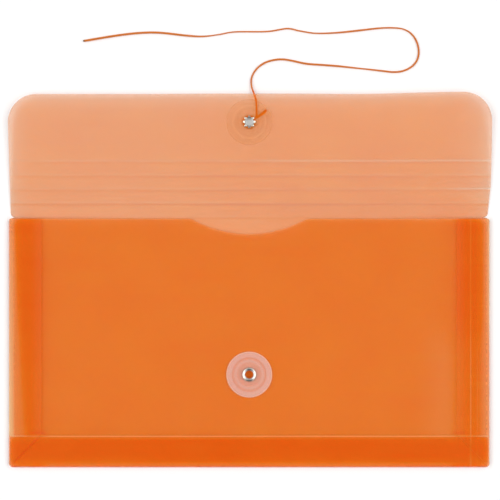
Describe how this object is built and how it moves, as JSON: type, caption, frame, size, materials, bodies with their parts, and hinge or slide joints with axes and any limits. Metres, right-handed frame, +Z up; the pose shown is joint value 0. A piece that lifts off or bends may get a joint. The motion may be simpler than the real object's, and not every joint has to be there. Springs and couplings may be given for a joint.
{
  "type": "button and string envelope",
  "caption": "Translucent plastic expanding envelope, flap open, with a bellows pocket, thumb notch, scored flap, riveted string buttons and a tie string.",
  "frame": {"origin": "middle of the back panel's outer face, which lies on the table", "axes": "+X across the pocket along the flap's root crease, +Y from the bottom fold to the flap, +Z up from the table"},
  "size_m": [0.255, 0.2327, 0.0047],
  "materials": {
    "film": "translucent orange polypropylene film with a fine matt grain",
    "button": "frosted translucent moulding with turned rings",
    "eyelet": "nickel plated",
    "string": "twisted waxed thread"
  },
  "bodies": {
    "back": {"back_panel": "film"},
    "front": {"front_panel": "film", "pocket_eyelet": "eyelet"},
    "left_leaf_lower": {"left_leaf_lower": "film"},
    "left_leaf_upper": {"left_leaf_upper": "film"},
    "right_leaf_lower": {"right_leaf_lower": "film"},
    "right_leaf_upper": {"right_leaf_upper": "film"},
    "bottom_leaf_lower": {"bottom_leaf_lower": "film"},
    "bottom_leaf_upper": {"bottom_leaf_upper": "film"},
    "flap_strip_1": {"flap_strip_1": "film"},
    "flap_strip_2": {"flap_strip_2": "film"},
    "flap_strip_3": {"flap_strip_3": "film"},
    "flap_strip_4": {"flap_strip_4": "film"},
    "lid": {"flap_lid": "film", "flap_eyelet": "eyelet", "string_knot": "string", "tie_string": "string"},
    "pocket_button": {"pocket_button": "button"},
    "flap_button": {"flap_button": "button"}
  },
  "joints": [
    {"name": "pocket_open", "type": "slide", "parent": "back", "child": "front", "axis": [0, 0, 1], "range_m": [0, 0.018]},
    {"name": "left_leaf_lower_fold", "type": "hinge", "parent": "back", "child": "left_leaf_lower", "pos_m": [-0.12632, 0, 0.00068], "axis": [0, -1, 0], "range_deg": [0, 33]},
    {"name": "left_leaf_upper_fold", "type": "hinge", "parent": "front", "child": "left_leaf_upper", "pos_m": [-0.12632, 0, 0.00243], "axis": [0, 1, 0], "range_deg": [0, 33]},
    {"name": "right_leaf_lower_fold", "type": "hinge", "parent": "back", "child": "right_leaf_lower", "pos_m": [0.12632, 0, 0.00068], "axis": [0, 1, 0], "range_deg": [0, 33]},
    {"name": "right_leaf_upper_fold", "type": "hinge", "parent": "front", "child": "right_leaf_upper", "pos_m": [0.12632, 0, 0.00243], "axis": [0, -1, 0], "range_deg": [0, 33]},
    {"name": "bottom_leaf_lower_fold", "type": "hinge", "parent": "back", "child": "bottom_leaf_lower", "pos_m": [0, -0.06532, 0.00068], "axis": [1, 0, 0], "range_deg": [0, 33]},
    {"name": "bottom_leaf_upper_fold", "type": "hinge", "parent": "front", "child": "bottom_leaf_upper", "pos_m": [0, -0.06532, 0.00243], "axis": [-1, 0, 0], "range_deg": [0, 33]},
    {"name": "flap_close", "type": "hinge", "parent": "back", "child": "flap_strip_1", "pos_m": [0, 0.066, 0.00022], "axis": [1, 0, 0], "range_deg": [0, 35.2]},
    {"name": "score_1_bend", "type": "hinge", "parent": "flap_strip_1", "child": "flap_strip_2", "pos_m": [0, 0.07333, 0.0007], "axis": [1, 0, 0], "range_deg": [0, 35.2]},
    {"name": "score_2_bend", "type": "hinge", "parent": "flap_strip_2", "child": "flap_strip_3", "pos_m": [0, 0.08067, 0.00117], "axis": [1, 0, 0], "range_deg": [0, 35.2]},
    {"name": "score_3_bend", "type": "hinge", "parent": "flap_strip_3", "child": "flap_strip_4", "pos_m": [0, 0.088, 0.00164], "axis": [1, 0, 0], "range_deg": [0, 35.2]},
    {"name": "score_4_bend", "type": "hinge", "parent": "flap_strip_4", "child": "lid", "pos_m": [0, 0.09534, 0.00211], "axis": [1, 0, 0], "range_deg": [0, 35.2]},
    {"name": "pocket_button_turn", "type": "hinge", "parent": "front", "child": "pocket_button", "pos_m": [0, -0.0169, 0.0036], "axis": [0, 0, 1], "continuous": true},
    {"name": "flap_button_turn", "type": "hinge", "parent": "lid", "child": "flap_button", "pos_m": [0, 0.11652, 0.00147], "axis": [0, -0.0642, 0.9979], "continuous": true}
  ],
  "couplings": [
    {"joint": "left_leaf_lower_fold", "follows": "pocket_open", "rad_per_m": 31.707},
    {"joint": "left_leaf_upper_fold", "follows": "pocket_open", "rad_per_m": 31.707},
    {"joint": "right_leaf_lower_fold", "follows": "pocket_open", "rad_per_m": 31.707},
    {"joint": "right_leaf_upper_fold", "follows": "pocket_open", "rad_per_m": 31.707},
    {"joint": "bottom_leaf_lower_fold", "follows": "pocket_open", "rad_per_m": 31.707},
    {"joint": "bottom_leaf_upper_fold", "follows": "pocket_open", "rad_per_m": 31.707},
    {"joint": "score_1_bend", "follows": "flap_close", "ratio": 1},
    {"joint": "score_2_bend", "follows": "flap_close", "ratio": 1},
    {"joint": "score_3_bend", "follows": "flap_close", "ratio": 1},
    {"joint": "score_4_bend", "follows": "flap_close", "ratio": 1}
  ]
}
